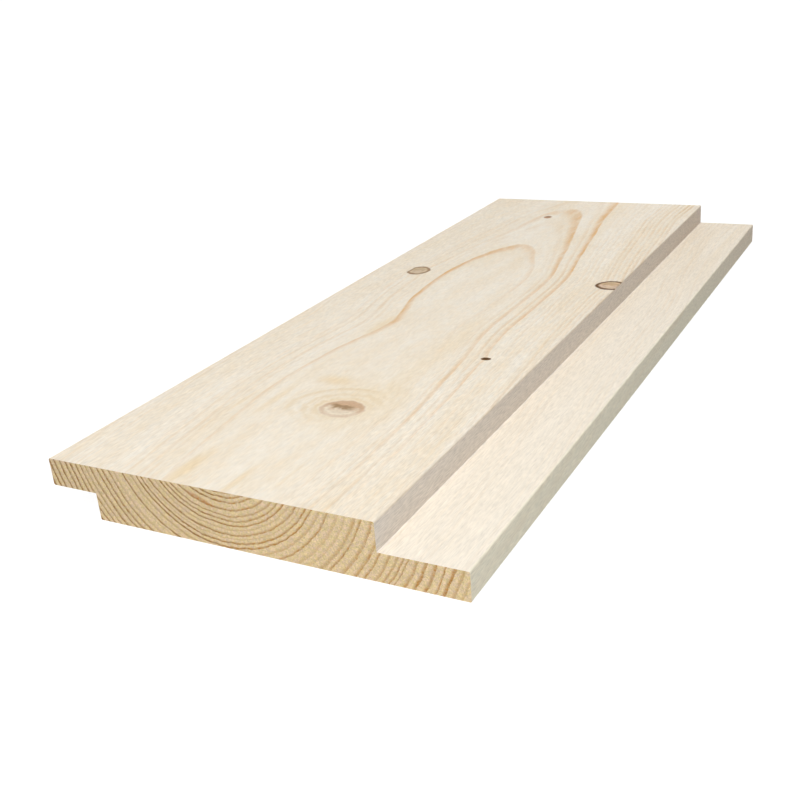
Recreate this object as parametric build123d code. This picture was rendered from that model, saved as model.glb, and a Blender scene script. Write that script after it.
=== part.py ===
from build123d import *
import os

# Shiplap cladding board: one length of planed softwood with a rebate run along each edge.
# X runs across the board from the lip to the tongue, Y along the grain, and Z from the back face up to the show face.
# The origin lies in the plane of the back face, at the middle of the overall width and of the length.

# Driving dimensions, in millimetres
board_width = 140.0      # overall, from the tip of the lip to the tip of the tongue
board_thickness = 18.0   # from the back face to the show face
board_length = 350.0
lip_thickness = 9.0      # the lip carries on the show face and laps over the next board's tongue
lip_reach = 17.0         # from the shoulder under the lip to the lip's tip
shadow_gap = 9.5         # channel that stays open between the next board's lip and this board's shoulder
arris_radius = 0.4       # long outer edges, eased at the planer

# The next board's lip lies on the tongue, flush with the show face, and stops short of the shoulder by the gap
tongue_thickness = board_thickness - lip_thickness
tongue_reach = lip_reach + shadow_gap


def square_edged_section():
    """The planed blank's section, less the rebate under the lip and the rebate over the tongue."""
    lip_tip = -board_width / 2
    tongue_tip = board_width / 2
    blank = Rectangle(board_width, board_thickness, align=(Align.CENTER, Align.MIN))
    under_lip = Rectangle(lip_reach, board_thickness - lip_thickness, align=(Align.MIN, Align.MIN))
    over_tongue = Rectangle(tongue_reach, board_thickness - tongue_thickness, align=(Align.MAX, Align.MAX))
    return blank - Pos(lip_tip, 0) * under_lip - Pos(tongue_tip, board_thickness) * over_tongue


def is_rebate_corner(corner):
    """Only the two inner corners, which the cutter leaves square, lie inside the blank's outline."""
    across = abs(corner.X) < board_width / 2
    through = 0 < corner.Y < board_thickness
    return across and through


def eased_section():
    """The same section with its six outer corners rounded to the arris."""
    section = square_edged_section()
    outer_corners = [corner for corner in section.vertices() if not is_rebate_corner(corner)]
    return fillet(outer_corners, arris_radius)


def cladding_board():
    """The eased section carried along the grain, half the length to each side, and cut square at both ends."""
    return extrude(Plane.XZ * eased_section(), board_length / 2, both=True)


os.makedirs("parts", exist_ok=True)
export_step(cladding_board(), "parts/cladding_board.step")
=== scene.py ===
import math

import bpy
import numpy as np
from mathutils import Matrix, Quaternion, Vector


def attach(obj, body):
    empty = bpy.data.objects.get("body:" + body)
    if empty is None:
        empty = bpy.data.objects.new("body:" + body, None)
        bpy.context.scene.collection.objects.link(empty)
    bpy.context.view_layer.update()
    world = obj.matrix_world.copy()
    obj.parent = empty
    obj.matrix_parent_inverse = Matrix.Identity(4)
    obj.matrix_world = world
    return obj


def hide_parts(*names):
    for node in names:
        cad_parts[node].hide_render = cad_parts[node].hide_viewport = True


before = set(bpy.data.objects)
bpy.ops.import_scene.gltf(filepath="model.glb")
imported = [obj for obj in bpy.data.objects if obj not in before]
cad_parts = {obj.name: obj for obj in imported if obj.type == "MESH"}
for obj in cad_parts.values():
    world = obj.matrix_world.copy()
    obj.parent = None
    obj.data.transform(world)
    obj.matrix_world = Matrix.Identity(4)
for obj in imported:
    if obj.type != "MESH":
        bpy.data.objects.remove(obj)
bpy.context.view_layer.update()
mm = 0.001  # every size below is in millimetres, and the scene is in metres

board = {
    "width": 140.0,
    "thickness": 18.0,
    "length": 350.0,
    "lipReach": 17.0,
    "tongueReach": 26.5,
    "lapHeight": 9.0,   # underside of the lip and top of the tongue
    "arris": 0.4,
    "plainCell": 1.6,   # mesh over clear wood
    "knotCell": 0.65,   # mesh over a knot
    "knotMargin": 0.8,   # how far past a knot its mesh goes on
    "cellChange": 4.0,   # length over which one mesh turns into the other
    "sharpAngle": 18.0,   # degrees of fold from which an edge is crisp
}

# the tree that the board was sawn from: its pith runs above the show face and wanders along the length
tree = {
    "stationGap": 35.0,
    "pithAcross": [-5.5, -8.5, -11.5, -12.5, -13.0, -15.5, -16.5, -18.5, -19.0, -20.5, -17.0],
    "pithAbove": [16.0, 11.0, 9.0, 15.0, 21.5, 18.0, 17.5, 23.5, 29.0, 32.2, 36.3],
    "ovalness": 0.97,
    "sweepRadius": 30.0,   # the way round the pith is measured at this radius
    "ringWidth": 2.0,
    "ringShift": 0.10,
    "slowWander": 0.45,
    "fineWander": 0.30,
    "unevenRings": 0.30,   # share of a ring by which the widths vary
    "innerRings": 34.0,   # on the sawn ends, rings are closer together inside this radius
    "innerCrowding": 0.19,   # rings more to the millimetre inside it
    "outerSpread": 0.09,   # rings fewer to the millimetre outside it, on the tongue's side
    "tongueSide": (-12.0, 10.0),   # way round the pith over which the tongue's side comes in
    "darkRings": [21.6, 29.6, 38.2, 47.4, 55.4, 61.5, 72.6],   # thick late wood, plain on the sawn ends
}

# rings whose late wood shows plainly on the planed faces, and how plainly to each side of the pith,
# at even stations from the near end to the far end
boldRings = [
    {
        "radius": 25.7,
        "lipSide": [0.15, 0.32, 0.80, 0.75, 0.5],
        "tongueSide": [0.05, 0.05, 0.10, 0.4, 0.4],
    },
    {
        "radius": 33.8,
        "lipSide": [0.08, 0.08, 0.08, 0.08, 0.3],
        "tongueSide": [0.0, 0.38, 0.25, 0.75, 0.6],
    },
    {
        "radius": 39.8,
        "lipSide": [0.08, 0.12, 0.12, 0.08, 0.08],
        "tongueSide": [0.0, 0.38, 0.5, 0.9, 0.9],
    },
]

# how plainly ring lines show: strengths, and pairs of places between which they come in or go
ringShow = {
    "pithBlend": 3.0,   # to each side of the pith, where one side's strengths turn into the other's
    "boldIn": (-5.5, -4.0),   # distance out from a bold ring
    "boldOut": (1.2, 2.2),
    "boldHeight": (14.0, 17.5),
    "faint": 0.12,
    "faintTongue": 0.06,   # more towards the tongue
    "faintFarTongue": 0.13,   # and more again at its far end
    "tongueIn": (0.0, 30.0),
    "farIn": (-100.0, 60.0),
    "faintRadius": (20.0, 32.0),
    "faintHeight": (12.0, 17.0),
    "lowShare": 0.3,   # what is left of a line low on the board
}

# branches cut through by the planer: middle and half sizes on the show face, lean and depth of the branch,
# how far and within what reach the rings bulge out over it, how much of its lip side is cut off flat,
# how soft and ragged its outline is, tones of its heart towards the near and far end, of its rim
# and of its crack, how plain these and the halo are, and how deep the groove round it is
knots = [
    {
        "x": -2.0, "y": -114.0, "across": 7.5, "along": 6.4, "lean": -0.35, "depth": 40.0,
        "push": 6.0, "reach": 13.0, "flat": 0.0, "soft": 0.10, "ragged": 0.14,
        "nearTone": (234, 220, 198), "farTone": (206, 173, 141), "rim": (208, 178, 150), "rimShow": 0.42,
        "crack": (148, 118, 82), "crackShow": 0.8, "halo": 0.50, "pit": 0.10,
    },
    {
        "x": -49.6, "y": 34.0, "across": 5.0, "along": 5.9, "lean": -0.25, "depth": 40.0,
        "push": 2.5, "reach": 8.0, "flat": 1.25, "soft": 0.09, "ragged": 0.14,
        "nearTone": (214, 194, 167), "farTone": (207, 185, 154), "rim": (142, 110, 78), "rimShow": 0.75,
        "crack": (172, 146, 116), "crackShow": 0.35, "halo": 0.0, "pit": 0.12,
    },
    {
        "x": 40.5, "y": 32.0, "across": 6.1, "along": 5.6, "lean": -0.3, "depth": 0.1,
        "push": 1.3, "reach": 9.0, "flat": 0.0, "soft": 0.07, "ragged": 0.10,
        "nearTone": (222, 196, 170), "farTone": (216, 188, 152), "rim": (104, 72, 42), "rimShow": 1.25,
        "crack": (176, 142, 104), "crackShow": 0.5, "halo": 0.0, "pit": 0.12,
    },
    {
        "x": 24.4, "y": -59.7, "across": 1.8, "along": 1.35, "lean": 0.0, "depth": 5.0,
        "push": 0.8, "reach": 4.0, "flat": 0.0, "soft": 0.16, "ragged": 0.2,
        "nearTone": (96, 70, 42), "farTone": (86, 60, 38), "rim": (124, 90, 58), "rimShow": 0.6,
        "crack": (60, 42, 28), "crackShow": 0.6, "halo": 0.0, "pit": 0.35,
    },
    {
        "x": -26.8, "y": 138.2, "across": 1.9, "along": 2.4, "lean": 0.0, "depth": 5.0,
        "push": 0.8, "reach": 5.0, "flat": 0.0, "soft": 0.32, "ragged": 0.2,
        "nearTone": (176, 135, 99), "farTone": (146, 105, 70), "rim": (200, 164, 132), "rimShow": 0.3,
        "crack": (124, 88, 62), "crackShow": 0.4, "halo": 0.0, "pit": 0.12,
    },
]

# the hollow at a knot: widths in half sizes of the knot, and the dish's share of the groove's depth
knotRelief = {"grooveWidth": 0.22, "dish": 0.5, "dishFrom": 0.3}

# warm streaks and patches of the show face: place, half sizes and how plain they are
streaks = [
    {"x": -24.0, "y": -166.0, "across": 2.8, "along": 13.0, "show": 0.60},
    {"x": -4.7, "y": -169.0, "across": 1.4, "along": 12.0, "show": 0.45},
    {"x": 8.0, "y": -160.0, "across": 0.9, "along": 9.0, "show": 0.25},
    {"x": -38.0, "y": -119.0, "across": 0.9, "along": 12.0, "show": 0.30},
    {"x": -28.0, "y": -115.0, "across": 1.6, "along": 14.0, "show": 0.35},
    {"x": -16.0, "y": -93.5, "across": 7.5, "along": 4.0, "show": 0.50},
    {"x": 3.0, "y": -108.0, "across": 13.0, "along": 24.0, "show": 0.36},
    {"x": 6.0, "y": -60.0, "across": 6.0, "along": 40.0, "show": 0.28},
    {"x": -29.5, "y": -38.0, "across": 2.5, "along": 12.0, "show": 0.40},
]


def easeBetween(low, high, value):  # 0 up to low, 1 from high on, with a smooth cubic between
    t = np.clip((value - low) / (high - low), 0, 1)
    return t * t * (3 - 2 * t)


def alongBoard(values, y):
    # smooth curve through evenly spaced stations, each piece a cubic that meets its neighbours' slopes
    held = np.asarray(values, float)
    held = np.concatenate([[2 * held[0] - held[1]], held, [2 * held[-1] - held[-2]]])
    t = np.clip((y + board["length"] / 2) / tree["stationGap"], 0, len(values) - 1 - 1e-9)
    i = t.astype(int)
    f = t - i
    a, b, c, d = held[i], held[i + 1], held[i + 2], held[i + 3]
    bend = (2 * a - 5 * b + 4 * c - d) * f ** 2 + (3 * b - a - 3 * c + d) * f ** 3
    return 0.5 * (2 * b + (c - a) * f + bend)


def branchAcross(knot, z):  # the branch leans as it goes down
    return knot["x"] + knot["lean"] * (board["thickness"] - z)


def knotDistance(knot, x, y, z):  # 1 on the knot's outline, an oval that may be cut off flat
    u = (x - branchAcross(knot, z)) / knot["across"]
    return np.maximum(np.hypot(u, (y - knot["y"]) / knot["along"]), -knot["flat"] * u)


def growth(x, y, z):
    # distance out from the pith less a bell-shaped hump over each branch, and the way round the pith
    across = alongBoard(tree["pithAcross"], y)
    above = board["thickness"] + alongBoard(tree["pithAbove"], y) - z
    ring = np.sqrt(tree["ovalness"] * (x - across) ** 2 + above ** 2)
    for knot in knots:
        apart = (x - branchAcross(knot, z)) ** 2 + (y - knot["y"]) ** 2
        ring = ring - knot["push"] * np.exp(-apart / knot["reach"] ** 2)
    return ring, tree["sweepRadius"] * np.arctan2(x - across, above)


def atHeight(places, z):  # full strength high on the board, and the low share low on it
    low = ringShow["lowShare"]
    return low + (1 - low) * easeBetween(*places, z)


def lineShow(x, y, z, ring):
    # how plainly a bold ring stands out, from its pith side to just past its outer edge
    blend = ringShow["pithBlend"]
    side = easeBetween(-blend, blend, x - alongBoard(tree["pithAcross"], y))
    show = np.zeros_like(x)
    for bold in boldRings:
        stations = np.linspace(-board["length"] / 2, board["length"] / 2, len(bold["lipSide"]))
        onLip = np.interp(y, stations, bold["lipSide"])
        onTongue = np.interp(y, stations, bold["tongueSide"])
        past = ring - bold["radius"]
        here = easeBetween(*ringShow["boldIn"], past) * (1 - easeBetween(*ringShow["boldOut"], past))
        show = show + ((1 - side) * onLip + side * onTongue) * here
    return show * atHeight(ringShow["boldHeight"], z)


def faintShow(x, y, z, ring):
    # late wood of the other rings: plainer towards the tongue and its far end, gone close to the pith
    toTongue = easeBetween(*ringShow["tongueIn"], x)
    toFar = easeBetween(*ringShow["farIn"], y)
    show = ringShow["faint"] + toTongue * (ringShow["faintTongue"] + ringShow["faintFarTongue"] * toFar)
    return show * easeBetween(*ringShow["faintRadius"], ring) * atHeight(ringShow["faintHeight"], z)


def relief(x, y, z):
    # how far the planed surface lies below flat: a bell-shaped groove round each knot and a dish inside it
    sunk = np.zeros_like(x)
    for knot in knots:
        d = knotDistance(knot, x, y, z)
        reached = board["thickness"] - z < knot["depth"]
        groove = np.exp(-((d - 1.0) / knotRelief["grooveWidth"]) ** 2)
        dish = knotRelief["dish"] * (1 - easeBetween(knotRelief["dishFrom"], 1.0, d))
        sunk = sunk + knot["pit"] * (groove + dish) * reached
    return sunk


def gradedLine(start, stop, spots):  # places from start to stop, packed closer round each spot
    samples = 6001
    fine = np.linspace(start, stop, samples)
    density = np.full(fine.shape, 1 / board["plainCell"])
    for middle, reach in spots:
        near = 1 - easeBetween(reach, reach + board["cellChange"], np.abs(fine - middle))
        density = np.maximum(density, (1 - near) / board["plainCell"] + near / board["knotCell"])
    steps = np.concatenate([[0], np.cumsum((density[1:] + density[:-1]) / 2 * np.diff(fine))])
    count = max(1, math.ceil(steps[-1]))
    return np.interp(np.linspace(0, steps[-1], count + 1), steps, fine)


# Board mesh: the section's outline carried along the length, closed by a grid over each end
def boardMesh():
    half = board["width"] / 2
    top = board["thickness"]
    lap = board["lapHeight"]
    arris = board["arris"]
    shoulder = -half + board["lipReach"]
    wall = half - board["tongueReach"]
    acrossSpots = [(k["x"], k["across"] + board["knotMargin"]) for k in knots]
    alongSpots = [(k["y"], k["along"] + board["knotMargin"]) for k in knots]
    xs = np.concatenate([
        [-half], gradedLine(-half + arris, shoulder, acrossSpots),
        gradedLine(shoulder + arris, wall - arris, acrossSpots),
        gradedLine(wall, half - arris, acrossSpots), [half],
    ])
    zs = np.concatenate([
        [0], gradedLine(arris, lap - arris, []),
        [lap], gradedLine(lap + arris, top - arris, []), [top],
    ])
    ys = gradedLine(-board["length"] / 2, board["length"] / 2, alongSpots)
    lastX = len(xs) - 1
    lastZ = len(zs) - 1
    atShoulder = int(np.argmin(np.abs(xs - shoulder)))
    atWall = int(np.argmin(np.abs(xs - wall)))
    atLap = int(np.argmin(np.abs(zs - lap)))

    # the outline as grid steps, clockwise from the lip's upper tip; 1 faces up, -1 down and 0 sideways
    sides = [
        (np.arange(0, atWall), lastZ, 1),
        (atWall, np.arange(lastZ, atLap, -1), 0),
        (np.arange(atWall, lastX), atLap, 1),
        (lastX, np.arange(atLap, 0, -1), 0),
        (np.arange(lastX, atShoulder, -1), 0, -1),
        (atShoulder, np.arange(0, atLap), 0),
        (np.arange(atShoulder, 0, -1), atLap, -1),
        (0, np.arange(atLap, lastZ), 0),
    ]
    loopX = np.concatenate([np.broadcast_arrays(i, k)[0] for i, k, up in sides])
    loopZ = np.concatenate([np.broadcast_arrays(i, k)[1] for i, k, up in sides])
    faceUp = np.concatenate([np.full(np.broadcast(i, k).shape, up) for i, k, up in sides])

    # outer corners move in to the middle of their arris
    gridX, gridZ = np.meshgrid(xs, zs, indexing="ij")
    inset = arris * (1 - math.sqrt(0.5))
    cornerX = np.array([0, 0, atShoulder, lastX, lastX, atWall])
    cornerZ = np.array([lastZ, atLap, 0, 0, atLap, lastZ])
    gridX[cornerX, cornerZ] += inset * np.array([1, 1, 1, -1, -1, -1])
    gridZ[cornerX, cornerZ] += inset * np.array([-1, 1, 1, 1, -1, -1])

    outlineX = gridX[loopX, loopZ]
    outlineZ = gridZ[loopX, loopZ]
    around = len(loopX)
    rows = len(ys)
    sideX = np.tile(outlineX, (rows, 1))
    sideY = np.tile(ys[:, None], (1, around))
    sideZ = np.tile(outlineZ, (rows, 1))
    sideZ = sideZ - np.tile(faceUp, (rows, 1)) * relief(sideX, sideY, sideZ)
    sidePoints = np.stack([sideX, sideY, sideZ], -1).reshape(-1, 3)

    # grid points inside the section close the two ends
    i, k = np.meshgrid(np.arange(lastX + 1), np.arange(lastZ + 1), indexing="ij")
    lowInside = (k > 0) & (k < atLap) & (i > atShoulder) & (i < lastX)
    highInside = (k > atLap) & (k < lastZ) & (i > 0) & (i < atWall)
    midInside = (k == atLap) & (i > atShoulder) & (i < atWall)
    inside = lowInside | highInside | midInside
    insideCount = int(inside.sum())
    endPoints = [
        np.stack([gridX[inside], np.full(insideCount, y), gridZ[inside]], -1)
        for y in (ys[0], ys[-1])
    ]
    points = np.concatenate([sidePoints] + endPoints)

    ring = np.arange(around)
    nextRing = (ring + 1) % around
    row = np.arange(rows - 1)[:, None] * around
    nextRow = row + around
    sideCorners = [row + ring, row + nextRing, nextRow + nextRing, nextRow + ring]
    sideQuads = np.stack(sideCorners, -1).reshape(-1, 4)

    cellI, cellK = np.meshgrid(np.arange(lastX), np.arange(lastZ), indexing="ij")
    solid = np.where(cellK < atLap, cellI >= atShoulder, cellI < atWall)
    cellI = cellI[solid]
    cellK = cellK[solid]

    def endQuads(firstOfOutline, firstInside):
        number = np.full(gridX.shape, -1)
        number[loopX, loopZ] = firstOfOutline + ring
        number[inside] = firstInside + np.arange(insideCount)
        corners = ((cellI, cellK), (cellI + 1, cellK), (cellI + 1, cellK + 1), (cellI, cellK + 1))
        return np.stack([number[a, b] for a, b in corners], -1)

    nearQuads = endQuads(0, len(sidePoints))
    farQuads = endQuads((rows - 1) * around, len(sidePoints) + insideCount)[:, ::-1]
    quads = np.concatenate([sideQuads, nearQuads, farQuads])

    # flat layout for the bake: the long faces unrolled at their true size, the two ends beside them
    stepX = np.diff(np.append(outlineX, outlineX[0]))
    stepZ = np.diff(np.append(outlineZ, outlineZ[0]))
    roundAt = np.concatenate([[0], np.cumsum(np.hypot(stepX, stepZ))])
    margin = 3.0
    u0 = np.tile(ys[:-1, None], (1, around)) - ys[0]
    u1 = np.tile(ys[1:, None], (1, around)) - ys[0]
    v0 = np.tile(roundAt[:-1], (rows - 1, 1))
    v1 = np.tile(roundAt[1:], (rows - 1, 1))
    sideMap = np.stack([u0, v0, u0, v1, u1, v1, u1, v0], -1).reshape(-1, 4, 2) + margin
    endShift = np.array([margin + half, roundAt[-1] + 2 * margin])
    nearMap = points[nearQuads][:, :, [0, 2]] + endShift
    farMap = points[farQuads][:, :, [0, 2]] + endShift + [board["width"] + margin, 0]
    sheet = max(board["length"], roundAt[-1] + top + margin) + 2 * margin
    flatMap = np.concatenate([sideMap, nearMap, farMap]) / sheet

    mesh = bpy.data.meshes.new("shiplapBoard")
    mesh.vertices.add(len(points))
    mesh.vertices.foreach_set("co", (points * mm).astype(np.float32).ravel())
    mesh.loops.add(quads.size)
    mesh.loops.foreach_set("vertex_index", quads.astype(np.int32).ravel())
    mesh.polygons.add(len(quads))
    mesh.polygons.foreach_set("loop_start", np.arange(0, quads.size, 4, dtype=np.int32))
    onEnd = np.arange(len(quads)) >= len(sideQuads)
    mesh.polygons.foreach_set("material_index", onEnd.astype(np.int32))
    mesh.update(calc_edges=True)
    mesh.uv_layers.new(name="OFBake").uv.foreach_set("vector", flatMap.astype(np.float32).ravel())
    x, y, z = points.T
    ringOut, sweep = growth(x, y, z)
    fields = {
        "ringOut": ringOut,
        "sweep": sweep,
        "lineShow": lineShow(x, y, z, ringOut),
        "faintShow": faintShow(x, y, z, ringOut),
    }
    for name, values in fields.items():
        mesh.attributes.new(name, "FLOAT", "POINT").data.foreach_set("value", values.astype(np.float32))
    mesh.set_sharp_from_angle(angle=math.radians(board["sharpAngle"]))
    print("board mesh:", len(points), "points,", 2 * len(quads), "triangles")
    return mesh


class Wire:  # a socket, or a bare node tree, whose arithmetic adds nodes
    def __init__(self, nodeTree, socket=None):
        self.nodeTree = nodeTree
        self.socket = socket

    def new(self, kind, settings, sockets, out=0):  # any node; a socket takes a value or a link
        node = self.nodeTree.nodes.new(kind)
        for name, value in settings.items():
            setattr(node, name, value)
        for name, value in sockets.items():
            if isinstance(value, Wire):
                self.nodeTree.links.new(value.socket, node.inputs[name])
            else:
                node.inputs[name].default_value = value
        if out is None:
            return node
        if isinstance(out, tuple):
            return [Wire(self.nodeTree, node.outputs[name]) for name in out]
        return Wire(self.nodeTree, node.outputs[out])

    def math(self, operation, a, b=0.0, c=0.0):
        return self.new("ShaderNodeMath", {"operation": operation}, {0: a, 1: b, 2: c})

    def __add__(self, other):
        return self.math("ADD", self, other)

    def __sub__(self, other):
        return self.math("SUBTRACT", self, other)

    def __rsub__(self, other):
        return self.math("SUBTRACT", other, self)

    def __mul__(self, other):
        return self.math("MULTIPLY", self, other)

    def __truediv__(self, other):
        return self.math("DIVIDE", self, other)

    def __pow__(self, other):
        return self.math("POWER", self, other)

    __radd__ = __add__
    __rmul__ = __mul__

    def ease(self, low, high):  # 0 up to low, 1 from high on; falls instead when low is above high
        return self.new("ShaderNodeMapRange", {"interpolation_type": "SMOOTHSTEP"},
                        {"Value": self, "From Min": low, "From Max": high})

    def field(self, name):  # a value that the mesh holds at each point
        return self.new("ShaderNodeAttribute", {"attribute_name": name}, {}, "Fac")

    def noise(self, a, b, c, detail=2.0, rough=0.5):  # smooth noise about zero, from -1 to 1
        at = self.new("ShaderNodeCombineXYZ", {}, {"X": a, "Y": b, "Z": c})
        sockets = {"Vector": at, "Scale": 1.0, "Detail": detail, "Roughness": rough}
        return self.new("ShaderNodeTexNoise", {}, sockets) * 2 - 1

    def blend(self, under, over):  # this value is how much of the second colour shows
        return self.new("ShaderNodeMix", {"data_type": "RGBA"}, {0: self, 6: under, 7: over}, 2)

    def tint(self, colour):  # the colour, lighter or darker by this value
        settings = {"data_type": "RGBA", "blend_type": "MULTIPLY"}
        return self.new("ShaderNodeMix", settings, {0: 1.0, 6: colour, 7: self}, 2)


def paint(colour):  # a colour as seen on a screen, 0 to 255, as linear light
    seen = np.array(colour, float) / 255
    light = np.where(seen < 0.04045, seen / 12.92, ((seen + 0.055) / 1.055) ** 2.4)
    return (*[float(part) for part in light], 1.0)


def newMaterial(name):
    material = bpy.data.materials.new(name)
    material.use_nodes = True
    material.node_tree.nodes.clear()
    return material, Wire(material.node_tree)


# in the noise below, what divides a place is the size of a patch in millimetres,
# and what multiplies it is how many go to a millimetre
def woodGrain(wood, torn):
    # place on the board, and in which ring; rings wander slowly and finely, and more where fibres are torn
    place = wood.new("ShaderNodeTexCoord", {}, {}, "Object")
    split = wood.new("ShaderNodeSeparateXYZ", {}, {0: place}, ("X", "Y", "Z"))
    x, y, z = [part / mm for part in split]
    ring = wood.field("ringOut") + tree["slowWander"] * wood.noise(x / 13, y / 42, z / 13, 1.0)
    ring = ring + tree["fineWander"] * wood.noise(x / 3.0, y / 9, z / 3.0, 2.0, 0.6)
    count = ring / tree["ringWidth"] + tree["ringShift"]
    count = count + tree["unevenRings"] * wood.noise(ring / 7, 0.0, 4.0, 1.0)
    if torn > 0:
        sweep = wood.field("sweep")
        tear = torn * wood.noise(x / 1.3, y / 50, z / 1.3, 2.0, 0.6)
        ring = ring + tear
        count = count + tear / tree["ringWidth"]
        count = count + tree["unevenRings"] * wood.noise(ring / 4.5, sweep / 90, 9.0, 1.0)
        outer = ring - tree["innerRings"]
        spread = wood.math("MAXIMUM", outer, 0.0) * sweep.ease(*tree["tongueSide"])
        count = count + tree["innerCrowding"] * wood.math("MINIMUM", outer, 0.0)
        count = count - tree["outerSpread"] * spread
    number = wood.math("FLOOR", count)
    chance = wood.new("ShaderNodeTexWhiteNoise", {"noise_dimensions": "1D"}, {"W": number + 0.5}, "Value")
    return x, y, z, ring, count - number, chance


def lateWood(ring, radius, soft, sharp):
    # colour gathers over the soft millimetres up to the radius and is gone past the sharp ones
    past = ring - radius
    return past.ease(-soft, 0.0) ** 2.0 * past.ease(sharp, 0.0)


def woodSurface(wood, look, colour, rough, height):
    bumpSize = {"Strength": look["bump"], "Distance": look["bumpDepth"] * mm}
    bump = wood.new("ShaderNodeBump", {}, {**bumpSize, "Height": height})
    shader = wood.new("ShaderNodeBsdfPrincipled", {}, {
        "Base Color": colour,
        "Roughness": rough,
        "Normal": bump,
        "Specular IOR Level": look["gloss"],
    })
    wood.new("ShaderNodeOutputMaterial", {}, {"Surface": shader}, None)


# distances are in half sizes of the knot; each pair is where something comes in or goes
knotLook = {
    "haloWaves": 11.5,
    "haloIn": (1.0, 1.2),
    "haloOut": (3.2, 1.2),
    "arcIn": (2.15, 2.5),   # one plainer ring in the halo
    "arcOut": (2.75, 2.5),
    "heartTurn": (-0.40, 0.40),   # from the near tone to the far tone
    "heartWaves": 17,
    "heartWavesIn": (0.2, 0.6),
    "heartWavesShow": 0.28,
    "heartMottle": 0.22,
    "rimIn": (0.70, 0.93),
    "rimOut": (1.12, 0.98),
    "rimUneven": 0.9,
    "crackWidth": (0.30, 0.02),
    "crackLength": (0.75, 0.35),
}


def addKnot(wood, knot, colour, x, y, z, mottle):
    # a two-toned heart with rings, a darker rim, a crack across the middle and a halo of close rings
    depth = board["thickness"] - z
    wander = wood.noise(x / 3.0, y / 3.0, z / 6 + knot["x"], 2.0)
    u = (x - (depth * knot["lean"] + knot["x"])) / knot["across"]
    v = (y - knot["y"]) / knot["along"]
    out = wood.math("SQRT", u * u + v * v)
    if knot["flat"] > 0:
        out = wood.math("MAXIMUM", out, u * -knot["flat"])
    d = out + knot["ragged"] * wander
    here = depth.ease(knot["depth"] + 0.4, knot["depth"])

    if knot["halo"] > 0:
        waves = wood.math("SINE", d * knotLook["haloWaves"] + 2.5 * wander) * 0.5 + 0.5
        halo = waves * d.ease(*knotLook["haloIn"]) * d.ease(*knotLook["haloOut"]) * (v - u).ease(-2.4, 1.6)
        arc = d.ease(*knotLook["arcIn"]) * d.ease(*knotLook["arcOut"]) * (v - 1.2 * u).ease(0.6, 2.6)
        halo = wood.math("MAXIMUM", halo, arc) * here * (1 + 0.9 * mottle)
        colour = (knot["halo"] * halo).blend(colour, paint(planed["halo"]))

    toFar = (v + 0.6 * wander).ease(*knotLook["heartTurn"])
    tone = toFar.blend(paint(knot["nearTone"]), paint(knot["farTone"]))
    waves = wood.math("SINE", d * knotLook["heartWaves"] + 2 * wander) * 0.5 + 0.5
    waves = waves * d.ease(*knotLook["heartWavesIn"])
    tone = (knotLook["heartWavesShow"] * waves).blend(tone, paint(knot["rim"]))
    tone = (1 + knotLook["heartMottle"] * wood.noise(x * 0.9, y * 0.9, knot["x"], 2.0)).tint(tone)
    colour = (d.ease(1 + knot["soft"], 1 - knot["soft"]) * here).blend(colour, tone)

    uneven = 1 + knotLook["rimUneven"] * wood.noise(u * 1.3, v * 1.3, knot["y"], 1.0)
    rim = d.ease(*knotLook["rimIn"]) * d.ease(*knotLook["rimOut"]) * uneven * here
    colour = (knot["rimShow"] * rim).blend(colour, paint(knot["rim"]))

    off = wood.math("ABSOLUTE", v * 0.9 - 0.16 + u * 0.12 + 0.35 * wander)
    along = wood.math("ABSOLUTE", u + 0.1)
    crack = off.ease(*knotLook["crackWidth"]) * along.ease(*knotLook["crackLength"]) * here
    colour = (knot["crackShow"] * crack).blend(colour, paint(knot["crack"]))
    return colour, crack + 0.4 * rim


planed = {
    "pale": (244, 236, 222),
    "warm": (238, 223, 199),
    "lateWood": (222, 180, 127),
    "faintWood": (222, 192, 150),
    "below": (243, 234, 220),   # rebates and edges, a little cooler: painted shade
    "wall": (238, 228, 217),   # upright side of the open rebate, greyer: painted shade
    "edge": (243, 235, 213),   # upright edge of the tongue, tinted for how it is lit: painted shade
    "farUprightShade": (232, 210, 191),   # painted shade: what the wall and edge darken to at the far end, where less light reaches them
    "farUprightShadeIn": (40.0, 190.0),
    "farTongueIn": (0.0, 150.0),   # where the tongue grows warmer
    "streak": (234, 208, 162),
    "halo": (226, 202, 160),
    "warmth": 0.45,   # share of the warm tone, and how much patches, flecks and clouds change it
    "patchWarmth": 0.8,
    "mottleWarmth": 0.3,
    "cloudWarmth": 0.5,
    "lateSoft": 2.8,
    "lateSharp": 0.5,
    "boldLines": 1.0,
    "dashes": 0.13,
    "fleck": 0.075,
    "fineFleck": 0.105,
    "mottle": 0.050,
    "figureMiddle": -12.0,   # flecks are stronger away from this line
    "figureSides": (18.0, 38.0),
    "roughness": 0.62,
    "gloss": 0.05,
    "bump": 0.35,
    "bumpDepth": 0.05,
}


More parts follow.
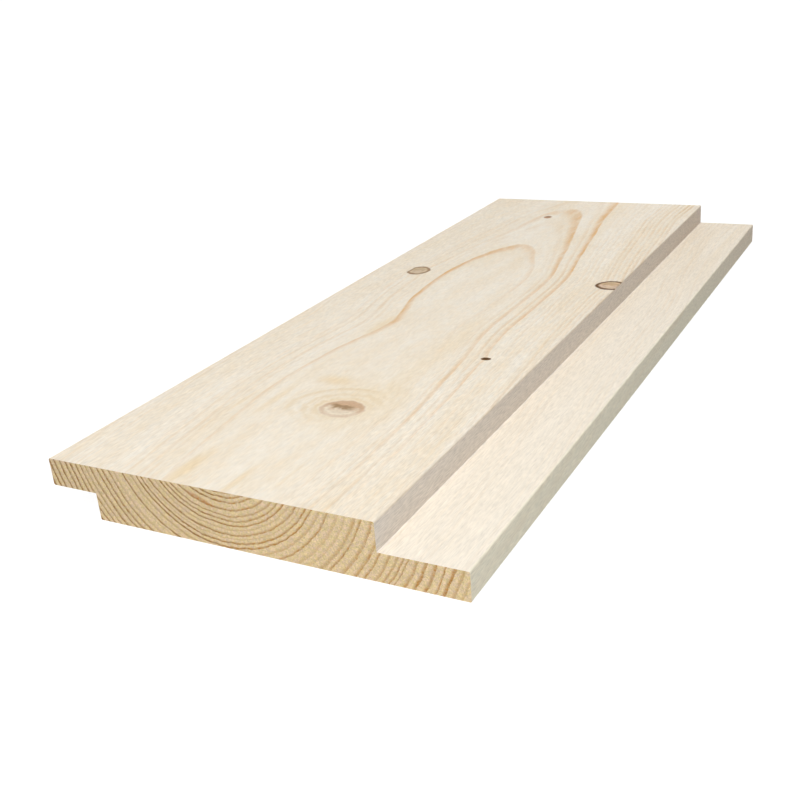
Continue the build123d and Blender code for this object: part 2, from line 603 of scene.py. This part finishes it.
def planedMaterial():
    material, wood = newMaterial("planedSpruce")
    x, y, z, ring, part, chance = woodGrain(wood, 0.0)

    # where on the board: below the show face, on the wall, on the tongue's edge and on the tongue
    top = board["thickness"]
    tip = board["width"] / 2
    wall = tip - board["tongueReach"]
    below = z.ease(top - 0.2, top - 0.8)
    onWall = below * x.ease(wall - 0.7, wall - 0.2) * x.ease(wall + 0.7, wall + 0.2)
    onEdge = x.ease(tip - 0.6, tip - 0.2)
    onTongue = below * x.ease(wall + 0.2, wall + 1.0) * (1 - onEdge)

    # cream wood: broad patches and short flecks that run with the grain
    patch = wood.noise(x / 14, ring / 9, y / 70, 2.0)
    mottle = wood.noise(x / 2.2, (z + ring) / 2.2, y / 10, 2.0, 0.6)
    fleck = wood.noise(x * 1.1, z * 1.1, y * 0.36, 2.0, 0.6)
    fineFleck = wood.noise(x * 2.6, z * 2.6, y * 0.32, 1.0)
    cloud = wood.noise(x / 3.2, y / 6, z / 3.2, 3.0, 0.6)
    longStreak = wood.noise(x / 2.0, y / 60, z / 2.0, 2.0)
    show = 0.4 + 0.6 * z.ease(board["lapHeight"] + 0.5, top - 2.0)
    change = planed["patchWarmth"] * patch + planed["mottleWarmth"] * mottle + planed["cloudWarmth"] * cloud
    colour = (planed["warmth"] + show * change).blend(paint(planed["pale"]), paint(planed["warm"]))
    # painted shade: the faces below the show face, the rebate's wall and the tongue's edge take their own
    # tints for how light falls on them
    colour = (0.5 * below).blend(colour, paint(planed["below"]))
    colour = onWall.blend(colour, paint(planed["wall"]))
    colour = onEdge.blend(colour, paint(planed["edge"]))
    # painted shade: the wall and edge darken towards the far end, as the light falls off there
    farUprightShade = 0.45 * (onEdge + 0.5 * onWall) * y.ease(*planed["farUprightShadeIn"])
    colour = farUprightShade.blend(colour, paint(planed["farUprightShade"]))
    farTongue = onTongue * y.ease(*planed["farTongueIn"]) * (0.28 + 0.8 * longStreak)
    colour = farTongue.blend(colour, paint(planed["warm"]))
    for streak in streaks:
        u = (x - streak["x"]) / streak["across"]
        v = (y - streak["y"]) / streak["along"]
        near = (wood.math("SQRT", u * u + v * v) + 0.6 * mottle).ease(1.4, 0.2) * (1 - below)
        colour = (streak["show"] * near).blend(colour, paint(planed["streak"]))

    # ring lines: faint ones everywhere, bold ones where the mesh says so, and short dashes
    patchy = wood.noise(x / 5, y / 22, z / 5, 2.0)
    faintLines = part.ease(0.0, 0.65) * part.ease(1.0, 0.68) * wood.field("faintShow")
    faintLines = faintLines * (0.3 + 1.4 * chance * chance) * (1 + 1.6 * patchy) * (1 - onWall)
    colour = faintLines.blend(colour, paint(planed["faintWood"]))
    boldLines = 0.0
    for bold in boldRings:
        boldLines = boldLines + lateWood(ring, bold["radius"], planed["lateSoft"], planed["lateSharp"])
    boldLines = planed["boldLines"] * boldLines * wood.field("lineShow") * (1 + 0.8 * mottle + 0.7 * patchy)
    dashes = wood.noise(x * 2.4, z * 2.4, y * 0.22, 0.0).ease(0.30, 0.62)
    lines = boldLines * (1 - 0.8 * onWall) + planed["dashes"] * dashes * (1 - 0.85 * below)
    colour = lines.blend(colour, paint(planed["lateWood"]))
    toSides = wood.math("ABSOLUTE", x - planed["figureMiddle"]).ease(*planed["figureSides"]) * (1 - below)
    grain = planed["fleck"] * fleck + planed["mottle"] * mottle
    grain = grain + planed["fineFleck"] * fineFleck * (1 + 0.5 * below + 1.2 * onWall + 0.6 * onEdge)
    colour = (1 + grain * (1 + 0.5 * toSides)).tint(colour)

    hollow = 0.0
    for knot in knots:
        colour, sunk = addKnot(wood, knot, colour, x, y, z, mottle)
        hollow = hollow + sunk
    rough = planed["roughness"] - 0.08 * lines + 0.08 * fleck
    height = 0.5 * fineFleck + 0.6 * fleck + 1.2 * lines - 2.5 * hollow
    woodSurface(wood, planed, colour, rough, height)
    return material


endGrain = {
    "early": (222, 201, 152),
    "earlyBlush": (224, 199, 169),
    "late": (152, 112, 64),
    "lateTongue": (184, 133, 70),
    "ringLines": 0.80,
    "darkLines": 0.70,
    "darkSoft": 1.1,
    "darkSharp": 0.25,
    "clearIn": (-1.9, -1.1),   # distance out from a dark ring where the plain lines make room for it
    "clearOut": (1.3, 0.7),
    "lipLines": 0.27,   # how much stronger lines are on the lip's side
    "rays": 0.10,
    "speckle": 0.24,
    "fineSpeckle": 0.36,
    "torn": 0.35,   # how far torn fibres shift a ring
    "sawWaves": 4.2,
    "sawLean": 0.22,
    "roughness": 0.75,
    "gloss": 0.05,
    "bump": 0.4,
    "bumpDepth": 0.08,
}

# a brown stain on the near end
smear = {
    "x": -13.0,
    "z": 14.4,
    "long": 6.0,
    "wide": 1.0,
    "slope": -0.38,
    "show": 0.6,
    "colour": (188, 128, 70),
}


def endGrainMaterial():
    material, wood = newMaterial("sawnEndGrain")
    x, y, z, ring, part, chance = woodGrain(wood, endGrain["torn"])
    sweep = wood.field("sweep")
    toTongue = sweep.ease(*tree["tongueSide"])

    # rays run straight out from the pith, and torn fibre ends speckle the saw cut
    deep = y / 50
    rays = wood.noise(sweep * 2.4, ring * 0.3, deep, 2.0, 0.6)
    speckle = wood.noise(x * 1.5, z * 1.5, deep, 1.0)
    fineSpeckle = wood.noise(x * 4.0, z * 4.0, deep, 1.0)
    blush = wood.noise(x, z, deep + 7, 3.0, 0.75)
    glow = wood.noise(x * 0.8, z * 0.8, deep + 3, 2.0, 0.7)
    colour = (0.45 + 2.7 * blush).blend(paint(endGrain["early"]), paint(endGrain["earlyBlush"]))

    # late wood: every ring has a line, and the dark rings a thicker one
    broken = 1 + 1.1 * speckle + 0.6 * rays
    lines = part.ease(0.40, 0.86) * part.ease(1.0, 0.92)
    lines = lines * endGrain["ringLines"] * (0.28 + 0.84 * chance)
    for radius in tree["darkRings"]:
        past = ring - radius
        dark = lateWood(ring, radius, endGrain["darkSoft"], endGrain["darkSharp"])
        lines = lines * (1 - past.ease(*endGrain["clearIn"]) * past.ease(*endGrain["clearOut"]))
        lines = lines + endGrain["darkLines"] * dark
    lines = lines * broken * (1 + endGrain["lipLines"] * (1 - toTongue))
    late = (toTongue * 0.8 + 0.9 * glow).blend(paint(endGrain["late"]), paint(endGrain["lateTongue"]))
    colour = lines.blend(colour, late)

    alongSmear = (x - smear["x"]) / smear["long"]
    offSmear = (z - smear["z"] - (x - smear["x"]) * smear["slope"]) / smear["wide"]
    soaked = wood.math("SQRT", alongSmear * alongSmear + offSmear * offSmear).ease(1.1, 0.3)
    soaked = soaked * y.ease(10.0, -10.0)   # on the near end alone
    colour = (smear["show"] * soaked * broken).blend(colour, paint(smear["colour"]))
    grain = endGrain["rays"] * rays + endGrain["speckle"] * speckle
    colour = (1 + grain + endGrain["fineSpeckle"] * fineSpeckle).tint(colour)

    sawWander = 2 * wood.noise(x / 6, z / 6, 0.0, 1.0)
    sawMark = wood.math("SINE", (x + endGrain["sawLean"] * z) * endGrain["sawWaves"] + sawWander)
    height = lines + 0.7 * speckle + 0.5 * fineSpeckle + 0.25 * sawMark
    woodSurface(wood, endGrain, colour, endGrain["roughness"], height)
    return material


shiplap = bpy.data.objects.new("shiplapBoard", boardMesh())
shiplap.data.materials.append(planedMaterial())
shiplap.data.materials.append(endGrainMaterial())
bpy.context.scene.collection.objects.link(shiplap)
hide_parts("cladding_board")
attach(shiplap, "root")
print("board dressed")


# Studio: white floor, soft lamps and the photograph's view
studio = {
    "floorSide": 24000.0,
    "floorWhite": 0.75,   # what the floor throws back on the board
    "floorGlow": 0.85,   # share of plain white in the floor as the camera sees it
    "glowStrength": 1.10,   # makes up for the lamplight that the rest lacks, so that clear floor is white
    "world": 0.01,
}

# the narrow sun lights the tongue right up to the wall; the wall shades the broad one there,
# which makes up for the light that the wall throws back
suns = {
    "overhead": {"place": (200.0, -500.0, 1800.0), "strength": 1.85, "angle": 14.0},
    "broad": {"place": (-1000.0, -200.0, 1300.0), "strength": 0.76, "angle": 80.0},
}
lamps = {
    "front": {
        "place": (120.0, -650.0, 520.0), "aim": (0.0, -80.0, 0.0),
        "side": 250.0, "power": 1.42, "colour": (1.0, 1.0, 1.0),
    },
    "side": {
        "place": (350.0, -385.0, 180.0), "aim": (60.0, -120.0, 0.0),
        "side": 180.0, "power": 0.42, "colour": (0.91, 0.96, 1.0),
    },
    "back": {
        "place": (-120.0, 620.0, 45.0), "aim": (0.0, 175.0, 9.0),
        "side": 80.0, "power": 0.28, "colour": (1.0, 1.0, 1.0),
    },
}
view = {
    "place": (169.878, -377.728, 151.477),
    "aim": (-8.50, -64.94, 0.0),
    "roll": -4.82,
    "lens": 47.917,
    "sensor": 36.0,
    "clipStart": 10.0,
    "clipEnd": 50000.0,
}


def turnTowards(place, aim, roll=0.0):
    ahead = Vector(aim) - Vector(place)
    return ahead.to_track_quat("-Z", "Y") @ Quaternion((0, 0, 1), math.radians(roll))


def placeLamp(lamp, place, aim):
    made = bpy.data.objects.new(lamp.name, lamp)
    made.location = Vector(place) * mm
    made.rotation_mode = "QUATERNION"
    made.rotation_quaternion = turnTowards(place, aim)
    made.visible_camera = False
    bpy.context.scene.collection.objects.link(made)


def seenStraight(wire):  # 1 for what the camera sees, also in gloss or through glass, and 0 for other light
    rays = ("Is Camera Ray", "Is Glossy Ray", "Is Transmission Ray")
    path = wire.new("ShaderNodeLightPath", {}, {}, rays)
    return wire.math("MAXIMUM", wire.math("MAXIMUM", path[0], path[1]), path[2])


def placeFloor():
    side = studio["floorSide"] * mm / 2
    corners = [(-side, -side, 0), (side, -side, 0), (side, side, 0), (-side, side, 0)]
    floorMesh = bpy.data.meshes.new("studioFloor")
    floorMesh.from_pydata(corners, [], [(0, 1, 2, 3)])
    floor = bpy.data.objects.new("studioFloor", floorMesh)
    bpy.context.scene.collection.objects.link(floor)
    material, white = newMaterial("studioWhite")
    seen = seenStraight(white)
    shade = studio["floorWhite"] + seen * (1 - studio["floorWhite"])
    matt = white.new("ShaderNodeBsdfDiffuse", {}, {"Color": shade})
    glow = white.new("ShaderNodeEmission", {}, {"Color": (1, 1, 1, 1), "Strength": studio["glowStrength"]})
    mixed = white.new("ShaderNodeMixShader", {}, {0: seen * studio["floorGlow"], 1: matt, 2: glow})
    white.new("ShaderNodeOutputMaterial", {}, {"Surface": mixed}, None)
    floorMesh.materials.append(material)


def placeLight():
    world = bpy.data.worlds.new("studioWorld")
    bpy.context.scene.world = world
    world.use_nodes = True
    world.node_tree.nodes.clear()
    sky = Wire(world.node_tree)
    strength = studio["world"] + seenStraight(sky) * (1 - studio["world"])
    light = sky.new("ShaderNodeBackground", {}, {"Color": (1, 1, 1, 1), "Strength": strength})
    sky.new("ShaderNodeOutputWorld", {}, {"Surface": light}, None)

    for name, far in suns.items():
        sun = bpy.data.lights.new(name, "SUN")
        sun.energy = far["strength"]
        sun.angle = math.radians(far["angle"])
        placeLamp(sun, far["place"], (0, 0, 0))
    for name, lamp in lamps.items():
        soft = bpy.data.lights.new(name, "AREA")
        soft.shape = "SQUARE"
        soft.size = lamp["side"] * mm
        soft.energy = lamp["power"]
        soft.color = lamp["colour"]
        placeLamp(soft, lamp["place"], lamp["aim"])


def placeCamera():
    camera = bpy.data.cameras.new("photoView")
    camera.lens = view["lens"]
    camera.sensor_width = view["sensor"]
    camera.sensor_fit = "HORIZONTAL"
    camera.clip_start = view["clipStart"] * mm
    camera.clip_end = view["clipEnd"] * mm
    made = bpy.data.objects.new("photoView", camera)
    made.location = Vector(view["place"]) * mm
    made.rotation_mode = "QUATERNION"
    made.rotation_quaternion = turnTowards(view["place"], view["aim"], view["roll"])
    bpy.context.scene.collection.objects.link(made)
    bpy.context.scene.camera = made


placeFloor()
placeLight()
placeCamera()
bpy.context.scene.view_settings.view_transform = "Standard"
print("studio placed")
